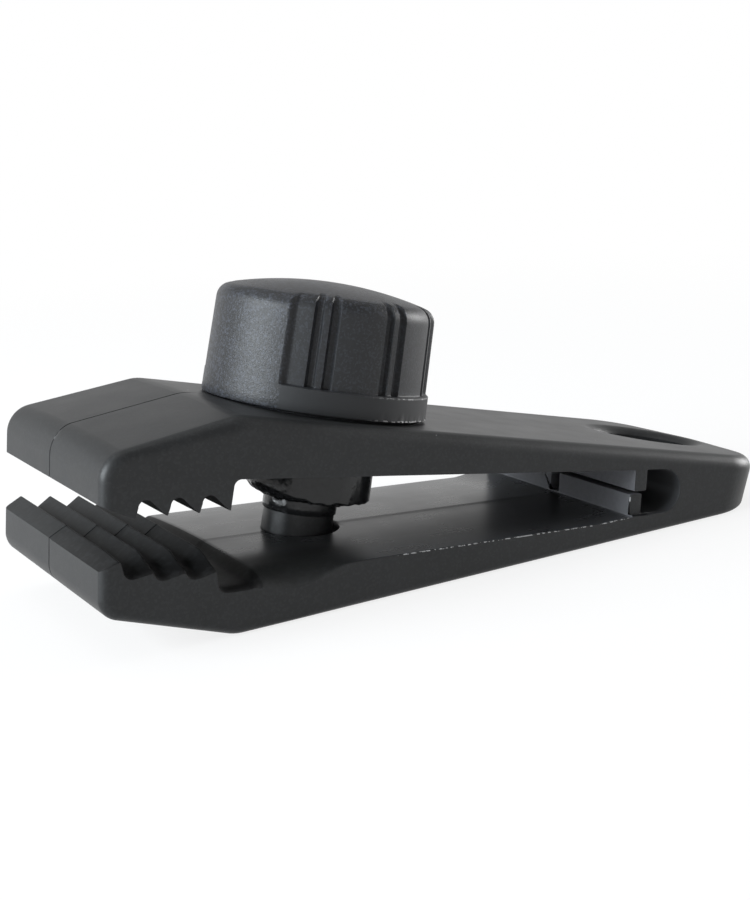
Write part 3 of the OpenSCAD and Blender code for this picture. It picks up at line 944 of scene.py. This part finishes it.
def makeKnob():
    bm = bmesh.new()
    flash = bm.verts.layers.float.new("flash")
    plain = bm.verts.layers.float.new("plain")
    # painted highlight marks: the flash rim in full, the ledge edge in part
    glints = {knob["flashRing"]: 1.0, knob["ledgeRing"]: knob["ledgeGlint"]}
    skirt, top = knob["skirtH"], knob["h"] - knob["round"]

    def paint(v, ring, angle):
        h = v.co.z
        aboveSkirt = smooth(h, skirt - knob["plainFade"], skirt)
        bare = smooth(gripCut(angle), 0, knob["plainCut"]) * (1 - aboveSkirt * (1 - knob["panelPlain"]))
        v[plain] = bare * (1 - smooth(h, top, knob["h"]))
        v[flash] = glints.get(ring, 0.0) * rimFlash(angle)

    foot, crown = growRings(bm, knob["segments"], knobSection, paint)
    for loop in (crown, foot):
        bmesh.ops.contextual_create(bm, geom=loop)
    facesOut(bm)
    return finishPiece("knobSkin", bm, lieDown @ onScrew, [knobPlastic], knob["sharpAngle"])


knobSkin = makeKnob()
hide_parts("knob")
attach(knobSkin, "turning_knob")
print("knob turned:", len(knobSkin.data.polygons), "faces")

# Screw: a stem with a cut thread at its end and a plain head inside the knob
screw = {
    "r": 4.0, "length": 15.8, "tip": 0.8, "headSeat": 3.2, "headH": 5.3, "headAcross": 13.0,
    "pitch": 1.25, "threadDepth": 0.45, "threadTop": 14.2, "threadFade": 1, "stepsPerTurn": 10,
    "flank": (0.25, 0.75), "plainStem": 6, "segments": 96, "sharpAngle": 40,
}


def cutThread(bm):
    for v in bm.verts:
        r = math.hypot(v.co.x, v.co.y)
        onStem = r >= screw["r"] - weld and v.co.z >= -screw["length"] + screw["tip"] / 2
        if not onStem or v.co.z > -screw["threadTop"]:
            continue
        turn = (v.co.z / screw["pitch"] - math.atan2(v.co.y, v.co.x) / (2 * math.pi)) % 1
        runOut = smooth(-v.co.z, screw["threadTop"], screw["threadTop"] + screw["threadFade"])
        cut = screw["threadDepth"] * smooth(abs(2 * turn - 1), *screw["flank"]) * runOut
        v.co.x *= 1 - cut / r
        v.co.y *= 1 - cut / r


def makeScrew():
    bottom = -screw["length"]
    points = [(0, bottom), (screw["r"] - screw["tip"], bottom), (screw["r"], bottom + screw["tip"])]
    rise = screw["pitch"] / screw["stepsPerTurn"]
    count = int((screw["length"] - screw["tip"] - screw["plainStem"]) / rise)
    points += [(screw["r"], bottom + screw["tip"] + i * rise) for i in range(1, count)]
    headR, headTop = screw["headAcross"] / 2, screw["headSeat"] + screw["headH"]
    points += [(screw["r"], screw["headSeat"]), (headR, screw["headSeat"]), (headR, headTop), (0, headTop)]
    bm = spinProfile(points, screw["segments"])
    cutThread(bm)
    return finishPiece("clampScrewSkin", bm, lieDown @ onScrew, [screwPlastic], screw["sharpAngle"])


screwSkin = makeScrew()
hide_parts("clamp_screw")
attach(screwSkin, "turning_knob")

# Collar: a glossy bowl, rounder on one side than on the other, with a ragged step and a lip under it.
# Tops and bottoms are depths below the arm's face, and a tab has its direction, its span and its reach.
collar = {
    "r": 7.2, "aside": 0.5, "top": 4.55, "bottom": 9.75, "bore": 4.02, "chamfer": 0.4, "wallEnd": 0.6,
    "squareAt": -30, "roundFrom": (70, 165), "roundMost": 1.7, "roundLeast": 0.25, "roundSteps": 9,
    "stepR": 5.3, "stepBottom": 10.25,
    "stepTopSoft": ((0.1, 0), (0, -0.2)), "stepFootSoft": ((-0.1, 0.25), (-0.5, 0)),   # out and up
    "lipR": 4.18, "lipBottom": 11.8, "lipRoot": 0.05, "lipBulge": 0.02, "lipChamfer": 0.15,
    "tabs": ((-45, 16, 0.5), (-75, 8, 0.6), (-15, 9, 0.45), (-150, 10, 0.5)), "tabFull": 0.4, "tabLevel": 0.8,
    # How uneven it is: by how much, with about how many lobes, and in which pattern of the noise
    "uneven": {"wave": (0.12, 3, 0), "sag": (0.35, 6, 5), "step": (0.3, 5, 9), "tab": (0.7, 5, 9),
               "foot": (0.2, 7, 2)},
    "segments": 240, "sharpAngle": 60,
}


def unevenAt(angle, kind):
    amount, lobes, pattern = collar["uneven"][kind]
    way = math.radians(angle)
    return amount * noise.noise(Vector((lobes * math.cos(way), lobes * math.sin(way), pattern)))


# One section of the collar at an angle round the screw, as radius and height
def collarSection(angle):
    bore, top = collar["bore"], -collar["top"]
    toSquare = abs(turnFrom(collar["squareAt"], angle))
    aside = collar["aside"] * math.cos(math.radians(toSquare))
    rounder = smooth(toSquare, *collar["roundFrom"])
    edgeR = collar["roundLeast"] + (collar["roundMost"] - collar["roundLeast"]) * rounder
    r = collar["r"] + aside + unevenAt(angle, "wave")
    low = -collar["bottom"] - unevenAt(angle, "sag")
    flat = r - collar["chamfer"]
    section = [(bore, top), (flat, top), (r, top - collar["chamfer"]), (r, low + edgeR + collar["wallEnd"])]
    section += arc(r - edgeR, low + edgeR, edgeR, 0, -90, collar["roundSteps"])
    stepR = collar["stepR"] + aside + unevenAt(angle, "step")
    for middle, span, reach in collar["tabs"]:
        shown = 1 - smooth(abs(turnFrom(middle, angle)), span * collar["tabFull"], span)
        stepR += reach * shown * (collar["tabLevel"] + unevenAt(angle, "tab"))
    foot = -collar["stepBottom"] - unevenAt(angle, "foot")
    section += [(stepR + out, low + up) for out, up in collar["stepTopSoft"]]
    section += [(stepR + out, foot + up) for out, up in collar["stepFootSoft"]]
    lipR, end, chamfer = collar["lipR"], -collar["lipBottom"], collar["lipChamfer"]
    section += [(lipR, foot - collar["lipRoot"]), (lipR + collar["lipBulge"], (foot + end) / 2)]
    return section + [(lipR, end + chamfer), (lipR - chamfer, end), (bore, end)]


def makeCollar():
    bm = bmesh.new()
    first, last = growRings(bm, collar["segments"], collarSection)
    bmesh.ops.bridge_loops(bm, edges=first + last)
    facesOut(bm)
    return finishPiece("retainingCollarSkin", bm, lieDown @ onScrew, [collarPlastic], collar["sharpAngle"])


collarSkin = makeCollar()
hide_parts("retaining_collar")
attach(collarSkin, "turning_knob")
print("screw and collar turned")

# Floor, light and camera, in metres
stage = {
    "floorSize": 3.0, "floorColour": (0.88, 0.88, 0.88),
    "whiteNear": 0.8, "whiteFrom": 0.1, "whiteBy": 0.3,
    "skyForLight": 0.32, "ceiling": 0.45, "ceilingFrom": 0.2, "ceilingTo": 0.55,
}
softboxes = (
    {"name": "windowSoftbox", "place": (-0.5, 0.04, 0.22), "target": (0, 0, 0.015), "size": (0.4, 0.3),
     "power": 5.4, "colour": (0.88, 0.95, 1.0)},
    {"name": "topSoftbox", "place": (-0.1, 0.15, 0.6), "target": (0, 0, 0.01), "size": (0.5, 0.5),
     "power": 0.7, "colour": (1, 1, 1)},
    {"name": "rightSoftbox", "place": (0.6, 0.0, 0.12), "target": (0.03, 0, 0.015), "size": (0.3, 0.2),
     "power": 2.8, "colour": (1, 1, 1)},
)


# Light Path's mask of the rays that see the backdrop
def seenRay(tree):
    path = addNode(tree, "ShaderNodeLightPath")
    seen = mathNode(tree, "MAXIMUM", path.outputs["Is Camera Ray"], path.outputs["Is Glossy Ray"])
    return mathNode(tree, "MAXIMUM", seen, path.outputs["Is Transmission Ray"])


# A pale floor that turns white away from the clip, so that only the shadow round it shows
def makeFloor():
    bm = bmesh.new()
    bmesh.ops.create_grid(bm, x_segments=1, y_segments=1, size=stage["floorSize"] / 2)
    floor = meshObject("studioFloor", bm)
    material = bpy.data.materials.new("paleFloor")
    material.use_nodes = True
    tree = material.node_tree
    tree.nodes.clear()
    paint = addNode(tree, "ShaderNodeBsdfDiffuse")
    paint.inputs["Color"].default_value = (*stage["floorColour"], 1)
    glow = addNode(tree, "ShaderNodeEmission")
    reach = addNode(tree, "ShaderNodeVectorMath", operation="LENGTH")
    feed(tree, objectPlace(tree), reach.inputs[0])
    away = rampNode(tree, reach.outputs["Value"], stage["whiteFrom"], stage["whiteBy"])
    share = mathNode(tree, "MULTIPLY_ADD", away, 1 - stage["whiteNear"], stage["whiteNear"])
    mix = addNode(tree, "ShaderNodeMixShader")
    feed(tree, mathNode(tree, "MULTIPLY", seenRay(tree), share), mix.inputs["Fac"])
    feed(tree, paint.outputs["BSDF"], mix.inputs[1])
    feed(tree, glow.outputs["Emission"], mix.inputs[2])
    output = addNode(tree, "ShaderNodeOutputMaterial")
    feed(tree, mix.outputs["Shader"], output.inputs["Surface"])
    floor.data.materials.append(material)


# A white backdrop with a greyer ceiling, dimmer where it only lights the clip
def makeSky():
    world = bpy.data.worlds.new("studioSky")
    scene.world = world
    world.use_nodes = True
    tree = world.node_tree
    sky = tree.nodes["Background"]
    sky.inputs["Color"].default_value = (1, 1, 1, 1)
    low = stage["skyForLight"]
    split = addNode(tree, "ShaderNodeSeparateXYZ")
    feed(tree, addNode(tree, "ShaderNodeTexCoord").outputs["Generated"], split.inputs["Vector"])
    overhead = rampNode(tree, split.outputs["Z"], stage["ceilingFrom"], stage["ceilingTo"])
    shown = mathNode(tree, "MULTIPLY_ADD", overhead, stage["ceiling"] - 1, 1.0 - low)
    feed(tree, mathNode(tree, "MULTIPLY_ADD", seenRay(tree), shown, low), sky.inputs["Strength"])


def makeSoftbox(name, place, target, size, power, colour):
    light = bpy.data.lights.new(name, "AREA")
    light.shape = "RECTANGLE"
    light.size, light.size_y = size
    light.energy = power
    light.color = colour
    lamp = bpy.data.objects.new(name, light)
    lamp.location = place
    lamp.rotation_euler = (Vector(target) - Vector(place)).to_track_quat("-Z", "Y").to_euler()
    scene.collection.objects.link(lamp)


# The photograph's view: where the lens stands, in millimetres, and the picture's right, down and depth
lens = {
    "focal": 61.278, "sensor": 36, "nearest": 0.005, "place": (-90.311, -148.528, 53.923),
    "right": (0.859411, -0.508375, -0.054473), "down": (-0.166337, -0.177255, -0.970007),
    "ahead": (0.483472, 0.842695, -0.236897),
}


def makeCamera():
    data = bpy.data.cameras.new("photoLens")
    data.sensor_width = lens["sensor"]
    data.lens = lens["focal"]
    data.clip_start = lens["nearest"]
    camera = bpy.data.objects.new("photoLens", data)
    turn = Matrix((lens["right"], -Vector(lens["down"]), -Vector(lens["ahead"]))).transposed()
    camera.matrix_world = Matrix.Translation(Vector(lens["place"]) * mm) @ turn.to_4x4()
    scene.collection.objects.link(camera)
    scene.camera = camera


makeFloor()
makeSky()
for box in softboxes:
    makeSoftbox(**box)
makeCamera()
scene.view_settings.view_transform = "Standard"
print("stage set")
